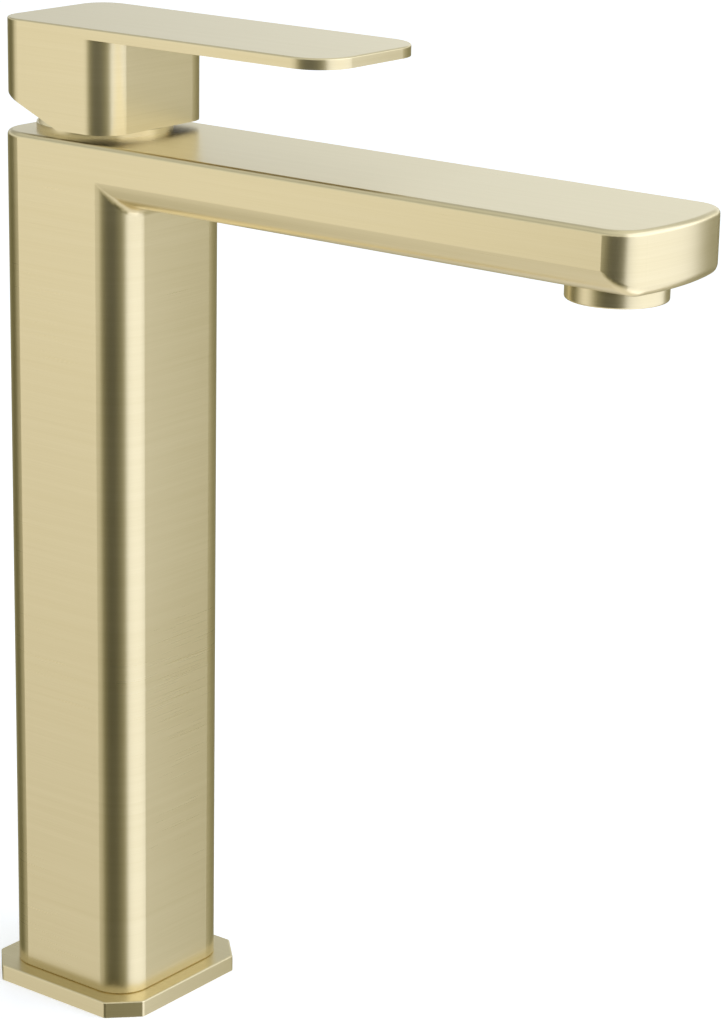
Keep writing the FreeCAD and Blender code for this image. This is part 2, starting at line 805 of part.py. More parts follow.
def make_disc_carrier():
    body = cartridge_body("disc_carrier")
    boss_foot = "slider_top + carrier_plate"
    socket = "stem_ball_radius + socket_fit"
    socket_floor = "pivot - stem_ball_drop - stem_ball_radius - 2 * socket_fit"
    turn(body, [
        ("0", "slider_top"), ("carrier_radius", "slider_top"), ("carrier_radius", boss_foot),
        ("carrier_boss_radius", boss_foot), ("carrier_boss_radius", "carrier_top"),
        (socket, "carrier_top"), (socket, socket_floor), ("0", socket_floor),
    ])


def make_cartridge_housing():
    body = cartridge_body("cartridge_housing")
    top = "pivot + housing_rise"
    turn(body, [
        ("housing_bore", "base_top"), ("cartridge_radius", "base_top"), ("cartridge_radius", "shoulder"),
        ("housing_neck", "shoulder"), ("housing_neck", top), ("lip_bore", top), ("lip_bore", "lip_bottom"),
        ("housing_bore", "lip_bottom"),
    ])


def make_rotating_sleeve():
    body = cartridge_body("rotating_sleeve")
    top = "pivot + sleeve_rise"
    turn(body, [
        ("0", "flange_bottom"), ("housing_bore - 2 * running_fit", "flange_bottom"),
        ("housing_bore - 2 * running_fit", "flange_top"), ("sleeve_radius", "flange_top"),
        ("sleeve_radius", top), ("0", top),
    ])
    well = new_sketch(body, level="flange_bottom")
    well_radius = "carrier_boss_radius + 2 * socket_fit"
    draw_outline(well, [
        (well_radius, "0"), ("0", well_radius, well_radius), (f"-({well_radius})", "0", well_radius),
        (f"-({well_radius})", "-(slide_travel)"), ("0", f"-(slide_travel) - ({well_radius})", well_radius),
        (well_radius, "-(slide_travel)", well_radius),
    ])
    pocket(body, well, "carrier_top - (flange_bottom) + well_gap", reverse=True)
    slot = new_sketch(body, level="flange_bottom")
    draw_rectangle(slot, "-(stem_half) - socket_fit", "stem_half + socket_fit", "-(slot_front)", "slot_back")
    pocket(body, slot)
    pin_hole = new_sketch(body, "YZ_Plane")
    draw_circle(pin_hole, "pin_radius + seat_fit / 2", "0", "pivot")
    pocket(body, pin_hole)


def make_stem_and_pin():
    pin = cartridge_body("stem_pin")
    section = new_sketch(pin, "YZ_Plane")
    draw_circle(section, "pin_radius", "0", "pivot")
    pad(pin, section, "2 * (sleeve_radius - pin_inset)", midplane=True)

    stem = cartridge_body("cartridge_stem")
    ball_centre = "pivot - stem_ball_drop"
    neck_meets = "sqrt(pow(stem_ball_radius; 2) - pow(stem_neck_radius; 2))"
    turn(stem, [
        ("0", f"{ball_centre} - stem_ball_radius"),
        ("stem_ball_radius", ball_centre, "stem_ball_radius"),
        ("stem_neck_radius", f"{ball_centre} + {neck_meets}", "stem_ball_radius"),
        ("stem_neck_radius", "stem_foot + run_past"), ("0", "stem_foot + run_past"),
    ])
    square = new_sketch(stem, level="stem_foot")
    draw_rectangle(square, "-(stem_half)", "stem_half", "-(stem_half)", "stem_half")
    pad(stem, square, "stem_rise + stem_foot_drop")
    pin_hole = new_sketch(stem, "YZ_Plane")
    draw_circle(pin_hole, "pin_radius + seat_fit", "0", "pivot")
    pocket(stem, pin_hole)


def make_retaining_nut():
    body = ring("retaining_nut", "nut_thread", "nut_bore", "shoulder", "nut_top", y="cartridge_back")
    slots = new_sketch(body, level="nut_top")
    draw_rectangle(slots, "-(nut_radius)", "nut_radius", "-nut_slot / 2", "nut_slot / 2")
    pocket(body, slots, "nut_slot_depth")


def make_dome_collar():
    body = cartridge_body("dome_collar")
    inner = "dome_radius - dome_wall"

    def above(radius, across):
        return f"pivot + sqrt(pow({radius}; 2) - pow({across}; 2))"

    shoulder_radius = "sqrt(pow(dome_radius; 2) - pow(pivot_drop + collar_height; 2))"
    turn(body, [
        ("skirt_bore", "skirt_bottom"), ("nut_thread", "skirt_bottom"), ("nut_thread", "body_top"),
        ("collar_radius", "body_top"), ("collar_radius", "collar_top"), (shoulder_radius, "collar_top"),
        ("dome_mouth", above("dome_radius", "dome_mouth"), "dome_radius"),
        ("dome_mouth", above(inner, "dome_mouth")),
        ("skirt_bore", above(inner, "skirt_bore"), f"-({inner})"),
    ])


# --- lever -------------------------------------------------------------------------------------------

def make_lever_handle():
    body = new_body("lever_handle")
    blade = new_sketch(body, level="plate_under")
    draw_rounded(blade, "lever_half", "-lever_reach", "half_column", "lever_tip", "block_corner")
    pad(body, blade, "lever_thick")
    block = new_sketch(body, level="lever_bottom")
    draw_rounded(block, "lever_half", "-block_front", "half_column", "block_corner", "block_corner")
    pad(body, block, "plate_under - (lever_bottom)")
    bevel = new_sketch(body, "YZ_Plane")
    draw_outline(bevel, [
        ("bevel_start", "lever_bottom"), ("half_column + run_past", "lever_bottom"),
        ("half_column + run_past", "lever_bottom + bevel_rise * (half_column + run_past - bevel_start)"
                                   " / (half_column - bevel_start)"),
    ])
    pocket(body, bevel)
    soften(body, "edge_round", at_level("lever_top"))

    cavity = new_sketch(body, level="lever_top - cavity_roof")
    front = "cavity_wall - block_front"
    back = "half_column - boss_back"
    boss, boss_start = "boss_width / 2", "cartridge_back - boss_front"
    draw_outline(cavity, [
        ("-(block_half)", front), ("block_half", front), ("block_half", back), (boss, back),
        (boss, boss_start), (f"-({boss})", boss_start), (f"-({boss})", back), ("-(block_half)", back),
    ])
    pocket(body, cavity, "lever_height")
    hollow_dome(body)
    socket = new_sketch(body, level="pivot")
    draw_rectangle(socket, "-(stem_socket)", "stem_socket", "cartridge_back - (stem_socket)",
                   "cartridge_back + stem_socket")
    pocket(body, socket, "stem_rise + 2 * seat_fit", reverse=True)
    screw = new_sketch(body, "XZ_Plane", "-(half_column) - run_past")
    draw_circle(screw, "handle_screw_radius + seat_fit", "0", "screw_level")
    pocket(body, screw, "half_column + run_past - cartridge_back", reverse=True)
    recess = new_sketch(body, "XZ_Plane", "-(half_column) - run_past")
    draw_circle(recess, "plug_radius + seat_fit", "0", "screw_level")
    pocket(body, recess, "plug_depth + run_past", reverse=True)


def hollow_dome(body):
    """Spherical hollow about the pivot, which clears the collar's dome as the lever lifts."""
    volume = body.Shape.Volume
    sphere = body.newObject("PartDesign::SubtractiveSphere", "lever_hollow")
    sphere.AttachmentSupport = [(origin_plane(body, "XY_Plane"), "")]
    sphere.MapMode = "FlatFace"
    bind(sphere, "Radius", "cavity_radius")
    bind(sphere, "AttachmentOffset.Base.y", "cartridge_back")
    bind(sphere, "AttachmentOffset.Base.z", "pivot")
    doc.recompute()
    check_cut(body, volume)


def make_handle_screw_and_plug():
    screw = new_body("handle_screw")
    section = new_sketch(screw, "XZ_Plane", "-(handle_screw_start) - handle_screw_length")
    draw_circle(section, "handle_screw_radius", "0", "screw_level")
    pad(screw, section, "handle_screw_length")
    key = new_sketch(screw, "XZ_Plane", "-(handle_screw_start) - handle_screw_length")
    draw_hexagon(key, "handle_key_radius", "0", "screw_level")
    pocket(screw, key, "handle_key_depth", reverse=True)

    plug = new_body("handle_plug")
    section = new_sketch(plug, "XZ_Plane", "-(half_column)")
    draw_circle(section, "plug_radius", "0", "screw_level")
    pad(plug, section, "plug_depth")


# --- assembly ----------------------------------------------------------------------------------------

def check_and_export():
    for thing in doc.Objects:
        if {"Invalid", "Error"} & set(thing.State):
            raise RuntimeError(f"{thing.Name} failed: {thing.State}")
    os.makedirs("parts", exist_ok=True)
    for node in nodes:
        if node.Shape.isNull() or not node.Shape.isValid() or not node.Shape.Solids:
            raise RuntimeError(f"{node.Label} has no valid shape")
    for node in nodes:
        node.Shape.exportStep(f"parts/{node.Label}.step")
        print(f"{node.Label}: {len(node.Shape.Solids)} solid, {node.Shape.Volume / 1000:.2f} cm3")


make_base_plate()
make_deck_gasket()
make_base_insert()
make_plate_screws()
make_body_shell()
make_risers()
make_spout_tube()
make_valve_block()
make_outlet_block()
make_aerator()
make_cartridge_base()
make_inlet_seals()
make_discs()
make_disc_carrier()
make_cartridge_housing()
make_rotating_sleeve()
make_stem_and_pin()
make_retaining_nut()
make_dome_collar()
make_lever_handle()
make_handle_screw_and_plug()
doc.recompute()
check_and_export()
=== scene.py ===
import json
import math

import bmesh
import bpy
from mathutils import Matrix, Vector


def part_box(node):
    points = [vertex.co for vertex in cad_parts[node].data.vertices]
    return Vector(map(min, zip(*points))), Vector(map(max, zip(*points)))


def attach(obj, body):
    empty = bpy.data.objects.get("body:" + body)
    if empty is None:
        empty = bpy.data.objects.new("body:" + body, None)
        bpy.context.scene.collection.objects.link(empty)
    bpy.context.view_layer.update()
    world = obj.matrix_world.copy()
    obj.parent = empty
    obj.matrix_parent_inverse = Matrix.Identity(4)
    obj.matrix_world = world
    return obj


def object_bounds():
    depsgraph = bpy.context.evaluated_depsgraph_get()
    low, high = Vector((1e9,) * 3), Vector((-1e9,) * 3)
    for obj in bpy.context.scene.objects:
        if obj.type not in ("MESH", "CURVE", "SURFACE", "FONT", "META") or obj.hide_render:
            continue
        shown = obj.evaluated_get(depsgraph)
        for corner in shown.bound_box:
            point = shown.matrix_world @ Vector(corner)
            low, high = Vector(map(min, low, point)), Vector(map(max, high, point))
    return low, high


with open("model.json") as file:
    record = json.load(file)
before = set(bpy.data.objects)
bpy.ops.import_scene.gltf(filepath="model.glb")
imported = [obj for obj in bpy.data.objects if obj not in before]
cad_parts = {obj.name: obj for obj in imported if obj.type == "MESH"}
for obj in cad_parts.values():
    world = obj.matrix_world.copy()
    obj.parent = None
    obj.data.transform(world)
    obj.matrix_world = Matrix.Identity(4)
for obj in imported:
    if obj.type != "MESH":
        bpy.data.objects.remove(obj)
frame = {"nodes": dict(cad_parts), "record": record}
cad_low, cad_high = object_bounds()

MM = 0.001

# Camera: angles in degrees, lens in millimetres, and its target off the middle of the part's box.
VIEW_AZIMUTH = -52.91
VIEW_ELEVATION = 16.93
VIEW_ROLL = 1.09
VIEW_DISTANCE = 0.9016
VIEW_LENS = 110.7
VIEW_TARGET = (cad_low + cad_high) / 2 + Vector((0, -0.00965, 0.0199))

# Threads of the two hose inlets (M10 x 1) and of the stud hole (M8 x 1.25).
HOSE_PITCH = 1.0 * MM
STUD_PITCH = 1.25 * MM
THREAD_DEPTH = 0.3 * MM
THREAD_SIDES = 48

# Honeycomb in the aerator's mouth.  Its cells stand a hair apart, fill most of the depth below the
# screen, and their upper edges reach a little into it.
HONEYCOMB_PITCH = 1.9 * MM
HONEYCOMB_WALL = 0.17 * MM
HONEYCOMB_GAP = 0.02 * MM
HONEYCOMB_RADIUS = 9.3 * MM
HONEYCOMB_FILL = 0.8
HONEYCOMB_SEAT = 0.48

MERGE_DISTANCE = 0.001 * MM


# --- node trees ----------------------------------------------------------------------------------

class Value:
    """A socket whose arithmetic adds Math nodes to its tree."""

    def __init__(self, tree, socket):
        self.tree = tree
        self.socket = socket

    def math(self, operation, *others, flip=False):
        operands = [self, *others][::-1] if flip else [self, *others]
        settings = {"operation": operation}
        return self.tree.node("ShaderNodeMath", settings, dict(enumerate(operands)))

    def __add__(self, other):
        return self.math("ADD", other)

    def __sub__(self, other):
        return self.math("SUBTRACT", other)

    def __rsub__(self, other):
        return self.math("SUBTRACT", other, flip=True)

    def __mul__(self, other):
        return self.math("MULTIPLY", other)

    def __truediv__(self, other):
        return self.math("DIVIDE", other)

    def __pow__(self, other):
        return self.math("POWER", other)

    def __neg__(self):
        return self.math("MULTIPLY", -1.0)

    def __abs__(self):
        return self.math("ABSOLUTE")

    __radd__ = __add__
    __rmul__ = __mul__


class Tree:
    """Node tree of a material, of the world or of a modifier."""

    def __init__(self, node_tree):
        self.nodes = node_tree.nodes
        self.links = node_tree.links
        self.nodes.clear()

    def node(self, kind, settings=None, inputs=None, out=0):
        """Adds a node, sets it up, feeds its sockets, and gives one of its outputs."""
        made = self.nodes.new(kind)
        for name, value in (settings or {}).items():
            if name == "stops":
                self.set_stops(made.color_ramp, value)
            else:
                setattr(made, name, value)
        for name, value in (inputs or {}).items():
            self.feed(made.inputs[name], value)
        return Value(self, made.outputs[out]) if made.outputs else None

    def feed(self, socket, value):
        """Links a value that varies to a socket, or sets a fixed one on it."""
        if isinstance(value, Value):
            self.links.new(value.socket, socket)
        else:
            socket.default_value = value

    def set_stops(self, ramp, stops):
        while len(ramp.elements) < len(stops):
            ramp.elements.new(1.0)
        for element, (place, colour) in zip(ramp.elements, stops):
            element.position = place
            element.color = colour

    def ramp(self, factor, stops):
        """Number that follows the stops, each a place from 0 to 1 with its level."""
        grey = [(place, (level, level, level, 1)) for place, level in stops]
        return self.node("ShaderNodeValToRGB", {"stops": grey}, {"Fac": factor})

    def mix_colour(self, factor, first, second):
        inputs = {0: factor, 6: first, 7: second}
        return self.node("ShaderNodeMix", {"data_type": "RGBA"}, inputs, out=2)

    def parts_of(self, vector):
        split = "ShaderNodeSeparateXYZ"
        return [self.node(split, {}, {0: vector}, out=axis) for axis in range(3)]

    def vector(self, *parts):
        return self.node("ShaderNodeCombineXYZ", {}, dict(enumerate(parts)))

    def noise(self, place, scale=1.0, detail=2.0, roughness=0.5):
        inputs = {"Vector": place, "Scale": scale, "Detail": detail, "Roughness": roughness}
        return self.node("ShaderNodeTexNoise", {"noise_dimensions": "3D"}, inputs)

    def place(self):
        """Place on the piece, in metres."""
        return self.node("ShaderNodeTexCoord", {}, {}, out="Object")


def blend(share, first, second):
    """First where share is 1, second where it is 0."""
    return share * first + (1 - share) * second


def material_tree(name):
    material = bpy.data.materials.new(name)
    material.use_nodes = True
    return material, Tree(material.node_tree)


def surface(tree, colour, roughness, metallic=0.0, height=None, depth=0.0, **fixed):
    """Principled surface: colour, roughness and height may vary, the rest is the same all over."""
    inputs = {"Base Color": colour, "Roughness": roughness, "Metallic": metallic}
    inputs.update({name.replace("_", " "): value for name, value in fixed.items()})
    if height is not None:
        relief = {"Height": height, "Strength": 1.0, "Distance": depth}
        inputs["Normal"] = tree.node("ShaderNodeBump", {}, relief)
    shader = tree.node("ShaderNodeBsdfPrincipled", {}, inputs)
    tree.node("ShaderNodeOutputMaterial", {}, {"Surface": shader})


# --- gold finish of the visible pieces -----------------------------------------------------------

GOLD_LIGHT = (0.735, 0.635, 0.385, 1)
GOLD_DEEP = (0.675, 0.575, 0.325, 1)
GOLD_TONES = [(0.32, 0.0), (0.68, 1.0)]
GOLD_ROUGHNESS = 0.23
GOLD_RELIEF = 0.0022 * MM

# Marks per metre across the grain and along it, and the share of the hairs in the grain.
HAIRS_ACROSS, HAIRS_ALONG = 3600.0, 26.0
BANDS_ACROSS, BANDS_ALONG = 520.0, 8.0
BANDS_LAYER = 4.0
CLOUDS_SCALE = 13.0
HAIRS_SHARE = 0.55
GRAIN_SHARE = 0.75

# How far a face must turn upwards before its grain runs front to back.
FLAT_FACES = [(0.55, 0.0), (0.8, 1.0)]

# Turned pieces measure the way round at this radius, and their squared radius stays above zero.
ARC_RADIUS = 10 * MM
AXIS_CLEARANCE = 1e-10


def finish_gold(tree, across, along, place):
    """Satin gold: fine hairs that run along one direction, in faint broader bands."""
    hair_place = tree.vector(across * HAIRS_ACROSS, along * HAIRS_ALONG, 0.0)
    hairs = tree.noise(hair_place, roughness=0.55)
    bands = tree.noise(tree.vector(across * BANDS_ACROSS, along * BANDS_ALONG, BANDS_LAYER))
    clouds = tree.noise(place, scale=CLOUDS_SCALE)
    grain = blend(HAIRS_SHARE, hairs, bands)
    tone = tree.ramp(blend(GRAIN_SHARE, grain, clouds), GOLD_TONES)
    colour = tree.mix_colour(tone, GOLD_DEEP, GOLD_LIGHT)
    roughness = GOLD_ROUGHNESS + hairs * 0.08 + clouds * 0.05
    surface(tree, colour, roughness, 1.0, grain, GOLD_RELIEF)


def straight_gold(name):
    """Grain level round upright faces, and lengthwise, front to back, on flat ones."""
    material, tree = material_tree(name)
    place = tree.place()
    facing = tree.node("ShaderNodeTexCoord", {}, {}, out="Normal")
    x, y, z = tree.parts_of(place)
    _, _, upward = tree.parts_of(facing)
    flat = tree.ramp(abs(upward), FLAT_FACES)
    finish_gold(tree, blend(flat, x, z), (1 - flat) * x + y, place)
    return material


def turned_gold(name, node):
    """Grain that runs round a turned piece, the ring or the collar."""
    material, tree = material_tree(name)
    radius, around, z, place = polar(tree, node)
    finish_gold(tree, radius + z, around, place)
    return material


def polar(tree, node):
    """Radius, way round and height about a piece's upright axis, and the place itself."""
    low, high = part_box(node)
    place = tree.place()
    x, y, z = tree.parts_of(place)
    x, y = x - (low.x + high.x) / 2, y - (low.y + high.y) / 2
    radius = (x * x + y * y + AXIS_CLEARANCE) ** 0.5
    return radius, x.math("ARCTAN2", y) * ARC_RADIUS, z, place


# --- finishes of the inner pieces ----------------------------------------------------------------

BRASS_DULL = (0.60, 0.44, 0.19, 1)
BRASS_BRIGHT = (0.69, 0.53, 0.25, 1)
BRASS_PATCHES = [(0.35, 0.0), (0.65, 1.0)]
TOOL_RINGS_ACROSS, TOOL_RINGS_ROUND = 2400.0, 40.0

COPPER_CLEAN = (0.78, 0.42, 0.27, 1)
COPPER_STAINED = (0.55, 0.27, 0.17, 1)
COPPER_STAINS = [(0.5, 0.0), (0.72, 1.0)]
DIE_LINES_ACROSS, DIE_LINES_ALONG = 2600.0, 18.0

STEEL_DARK = (0.52, 0.52, 0.51, 1)
STEEL_LIGHT = (0.68, 0.68, 0.67, 1)
GRIND_MARKS_LEVEL, GRIND_MARKS_UPRIGHT = 900.0, 5200.0


def machined_brass(name, node):
    """Bare brass with the rings of a turning tool and a slightly duller skin in patches."""
    material, tree = material_tree(name)
    radius, around, z, place = polar(tree, node)
    rings = tree.noise(tree.vector(
        radius * TOOL_RINGS_ACROSS, z * TOOL_RINGS_ACROSS, around * TOOL_RINGS_ROUND))
    skin = tree.noise(place, scale=160.0, detail=3.0)
    colour = tree.mix_colour(tree.ramp(skin, BRASS_PATCHES), BRASS_DULL, BRASS_BRIGHT)
    surface(tree, colour, 0.26 + rings * 0.14 + skin * 0.06, 1.0, rings, 0.004 * MM)
    return material


def drawn_copper(name, along):
    """Copper tube with die lines along one axis and a few darker, duller stains."""
    material, tree = material_tree(name)
    place = tree.place()
    stretch = [DIE_LINES_ACROSS] * 3
    stretch[along] = DIE_LINES_ALONG
    parts = [part * factor for part, factor in zip(tree.parts_of(place), stretch)]
    lines = tree.noise(tree.vector(*parts))
    stains = tree.ramp(tree.noise(place, scale=90.0, detail=4.0), COPPER_STAINS)
    colour = tree.mix_colour(stains, COPPER_CLEAN, COPPER_STAINED)
    surface(tree, colour, 0.22 + lines * 0.1 + stains * 0.15, 1.0, lines, 0.003 * MM)
    return material


def ground_steel(name):
    """Stainless steel with short, fine grinding marks."""
    material, tree = material_tree(name)
    place = tree.place()
    x, y, z = tree.parts_of(place)
    marks = tree.noise(tree.vector(
        x * GRIND_MARKS_LEVEL, y * GRIND_MARKS_LEVEL, z * GRIND_MARKS_UPRIGHT), detail=3.0)
    colour = tree.mix_colour(marks, STEEL_DARK, STEEL_LIGHT)
    surface(tree, colour, 0.22 + marks * 0.16, 1.0, marks, 0.003 * MM)
    return material


def moulded(name, dark, light, roughness, grain_scale, depth):
    """Rubber, plastic or ceramic: an even colour with faint clouds and a fine grain."""
    material, tree = material_tree(name)
    place = tree.place()
    grain = tree.noise(place, scale=grain_scale, detail=3.0)
    clouds = tree.noise(place, scale=120.0)
    colour = tree.mix_colour(blend(0.4, grain, clouds), dark, light)
    surface(tree, colour, roughness + grain * 0.12, 0.0, grain, depth)
    return material


def dress_cad_nodes():
    """Gives every CAD piece its finish, and returns the acetal, which the honeycomb shares."""
    rubber = moulded("black_rubber", dark=(0.018, 0.018, 0.019, 1), light=(0.042, 0.041, 0.04, 1),
                     roughness=0.62, grain_scale=2600.0, depth=0.02 * MM)
    ceramic = moulded("lapped_ceramic", dark=(0.80, 0.79, 0.76, 1), light=(0.88, 0.87, 0.84, 1),
                      roughness=0.12, grain_scale=5200.0, depth=0.001 * MM)
    acetal = moulded("white_acetal", dark=(0.74, 0.74, 0.72, 1), light=(0.82, 0.82, 0.80, 1),
                     roughness=0.38, grain_scale=1800.0, depth=0.006 * MM)
    nylon = moulded("glass_filled_nylon", dark=(0.055, 0.056, 0.06, 1),
                    light=(0.11, 0.11, 0.115, 1),
                    roughness=0.45, grain_scale=3200.0, depth=0.012 * MM)
    by_slot = {
        "rubber": rubber,
        "ceramic": ceramic,
        "white_plastic": acetal,
        "dark_plastic": nylon,
        "steel": ground_steel("ground_steel"),
        "brushed_gold": straight_gold("straight_gold"),
    }
    by_node = {
        "aerator_housing": turned_gold("ring_gold", "aerator_housing"),
        "dome_collar": turned_gold("collar_gold", "dome_collar"),
        "hot_riser": drawn_copper("riser_copper", 2),
        "spout_tube": drawn_copper("spout_tube_copper", 1),
    }
    by_node["cold_riser"] = by_node["hot_riser"]
    slots = {part["node"]: part["material_slot"] for part in frame["record"]["subparts"]}
    for name, thing in frame["nodes"].items():
        if slots[name] == "raw_brass":
            finish = machined_brass(name + "_brass", name)
        else:
            finish = by_node.get(name) or by_slot[slots[name]]
        thing.data.materials.clear()
        thing.data.materials.append(finish)
    return acetal


# --- threads and aerator honeycomb ---------------------------------------------------------------

def modifier_tree(name, sizes):
    """Geometry node group with named inputs, its tree, and its input node's sockets by name."""
    group = bpy.data.node_groups.new(name, "GeometryNodeTree")
    group.interface.new_socket("Geometry", in_out="INPUT", socket_type="NodeSocketGeometry")
    for size, kind in sizes.items():
        group.interface.new_socket(size, in_out="INPUT", socket_type=kind)
    group.interface.new_socket("Geometry", in_out="OUTPUT", socket_type="NodeSocketGeometry")
    tree = Tree(group)
    source = group.nodes.new("NodeGroupInput")
    given = {socket.name: Value(tree, socket) for socket in source.outputs if socket.name}
    return group, tree, given


def repeat_ring(tree, given, ring, points):
    """Ends a tree with one ring at each point, as real faces with the given material."""
    placed = tree.node("GeometryNodeInstanceOnPoints", {}, {"Points": points, "Instance": ring})
    real = tree.node("GeometryNodeRealizeInstances", {}, {"Geometry": placed})
    finish = {"Geometry": real, "Material": given["Material"]}
    dressed = tree.node("GeometryNodeSetMaterial", {}, finish)
    tree.node("NodeGroupOutput", {}, {"Geometry": dressed})


def thread_group():
    """Stack of thread ridges up a bore, one pitch apart."""
    group, tree, given = modifier_tree("bore_thread", {
        "Radius": "NodeSocketFloat", "Pitch": "NodeSocketFloat", "Depth": "NodeSocketFloat",
        "Turns": "NodeSocketInt", "Mouth": "NodeSocketVector", "Material": "NodeSocketMaterial"})
    rise = tree.vector(0.0, 0.0, given["Pitch"])
    line = tree.node("GeometryNodeMeshLine", {"mode": "OFFSET"},
                     {"Count": given["Turns"], "Start Location": given["Mouth"], "Offset": rise})
    circle = "GeometryNodeCurvePrimitiveCircle"
    path = tree.node(circle, {}, {"Resolution": THREAD_SIDES, "Radius": given["Radius"]})
    ridge = tree.node(circle, {}, {"Resolution": 4, "Radius": given["Depth"]})
    ring = tree.node("GeometryNodeCurveToMesh", {}, {"Curve": path, "Profile Curve": ridge})
    repeat_ring(tree, given, ring, line)
    return group


def honeycomb_group():
    """Six-sided cell wall at each point of the seed mesh."""
    group, tree, given = modifier_tree("aerator_cells", {
        "Cell Radius": "NodeSocketFloat", "Wall Thickness": "NodeSocketFloat",
        "Wall Height": "NodeSocketFloat", "Material": "NodeSocketMaterial"})
    path = tree.node("GeometryNodeCurvePrimitiveCircle", {},
                     {"Resolution": 6, "Radius": given["Cell Radius"]})
    wall = tree.node("GeometryNodeCurvePrimitiveQuadrilateral", {"mode": "RECTANGLE"},
                     {0: given["Wall Thickness"], 1: given["Wall Height"]})
    ring = tree.node("GeometryNodeCurveToMesh", {}, {"Curve": path, "Profile Curve": wall})
    repeat_ring(tree, given, ring, given["Geometry"])
    return group


def grow(name, group, sizes, seeds=()):
    """Plain mesh of what a node group makes from its sizes and seed points, faces outwards."""
    seed = bpy.data.meshes.new(name + "_seed")
    seed.from_pydata(list(seeds), [], [])
    thing = bpy.data.objects.new(name, seed)
    modifier = thing.modifiers.new(name, "NODES")
    modifier.node_group = group
    for item in group.interface.items_tree:
        if item.in_out == "INPUT" and item.name in sizes:
            modifier[item.identifier] = sizes[item.name]
    bpy.context.scene.collection.objects.link(thing)
    evaluated = thing.evaluated_get(bpy.context.evaluated_depsgraph_get())
    mesh = bpy.data.meshes.new_from_object(evaluated)
    thing.modifiers.clear()
    thing.data = mesh
    shell = bmesh.new()
    shell.from_mesh(mesh)
    bmesh.ops.remove_doubles(shell, verts=shell.verts, dist=MERGE_DISTANCE)
    bmesh.ops.recalc_face_normals(shell, faces=shell.faces)
    shell.to_mesh(mesh)
    shell.free()
    return thing


def build_threads():
    """Ridges in the two hose inlets and in the stud hole."""
    group = thread_group()
    brass = machined_brass("thread_brass", "base_insert")
    for mount in frame["record"]["mounts"]:
        if mount["kind"] != "threaded_hole":
            continue
        pitch = STUD_PITCH if mount["name"] == "stud_hole" else HOSE_PITCH
        turns = int(mount["dims"]["length_mm"] * MM / pitch) - 1
        mouth = Vector(mount["pos_m"]) + Vector((0, 0, pitch))
        piece = grow(mount["name"] + "_thread", group, {
            "Radius": mount["dims"]["r_mm"] * MM, "Pitch": pitch, "Depth": THREAD_DEPTH,
            "Turns": turns, "Mouth": mouth, "Material": brass})
        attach(piece, "root")


def build_honeycomb(acetal):
    """Flow former of small six-sided cells in the mouth of the aerator."""
    ring_low, ring_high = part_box("aerator_housing")
    screen_low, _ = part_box("aerator_screen")
    middle = (ring_low + ring_high) / 2
    height = (screen_low.z - ring_low.z) * HONEYCOMB_FILL
    cell_radius = (HONEYCOMB_PITCH - HONEYCOMB_WALL - HONEYCOMB_GAP) / math.sqrt(3)
    level = screen_low.z - height * HONEYCOMB_SEAT
    row = HONEYCOMB_PITCH * math.sqrt(3) / 2
    reach = int(HONEYCOMB_RADIUS / row) + 1
    seeds = []
    for step in range(-reach, reach + 1):
        along = step * row
        for cell in range(-reach, reach + 1):
            across = (cell + (step % 2) / 2) * HONEYCOMB_PITCH
            if math.hypot(across, along) + HONEYCOMB_PITCH / 2 < HONEYCOMB_RADIUS:
                seeds.append((middle.x + along, middle.y + across, level))
    piece = grow("aerator_honeycomb", honeycomb_group(), {
        "Cell Radius": cell_radius, "Wall Thickness": HONEYCOMB_WALL, "Wall Height": height,
        "Material": acetal}, seeds)
    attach(piece, "root")


# --- studio --------------------------------------------------------------------------------------

def heading(azimuth, elevation):
    """Unit vector, in degrees: azimuth 0 at the front (-Y), 90 at the right (+X)."""
    a, e = math.radians(azimuth), math.radians(elevation)
    return Vector((math.sin(a) * math.cos(e), -math.cos(a) * math.cos(e), math.sin(e)))


# Brightness of the studio round the mixer, by azimuth in degrees: a lit wall at the back left, a
# dark gap beside the camera, a half-lit front and a darker right and back.  The wall is dimmer
# near its foot.
WALL = [(-180, 0.13), (-158, 0.14), (-146, 0.75), (-134, 1.28), (-123, 1.28), (-112, 0.62),
        (-100, 0.14), (-84, 0.04), (-60, 0.04), (-42, 0.16), (-24, 0.38), (-4, 0.5), (36, 0.52),
        (56, 0.50), (70, 0.34), (90, 0.26), (130, 0.34), (152, 0.38), (168, 0.24), (180, 0.13)]
WALL_FOOT = [(-180, 0.13), (-158, 0.14), (-146, 0.6), (-134, 0.92), (-123, 0.92), (-112, 0.52),
             (-100, 0.14), (-84, 0.04), (-60, 0.04), (-42, 0.16), (-24, 0.34), (-4, 0.44),
             (36, 0.44), (56, 0.42), (70, 0.32), (90, 0.26), (130, 0.34), (152, 0.38),
             (168, 0.24), (180, 0.13)]
CEILING = [(-180, 1.0), (-100, 1.1), (0, 1.25), (118, 1.3), (125, 1.2), (132, 0.98), (142, 0.76),
           (180, 0.9)]
PEAK = 1.4

# Levels by height, 0 straight down, 0.5 at the horizon and 1 straight up.
CEILING_FALL = [(0.60, 1.0), (0.70, 0.56), (0.75, 0.45), (0.85, 0.75)]
WALL_ABOVE_FOOT = [(0.285, 0.0), (0.425, 1.0)]
GROUND_SHARE = [(0.06, 1.0), (0.26, 0.0)]
CEILING_SHARE = [(0.495, 0.0), (0.555, 1.0)]
GROUND_LEVEL = 1.0

# Tints of the light: dim walls are golden, bright ones white, and the ceiling is cooler.
DIM_WALL_TINT = (1.0, 0.95, 0.38, 1)
LIT_WALL_TINT = (1.0, 1.0, 1.03, 1)
CEILING_TINT = (1.0, 1.05, 1.10, 1)
TINT_GAIN = 1.2

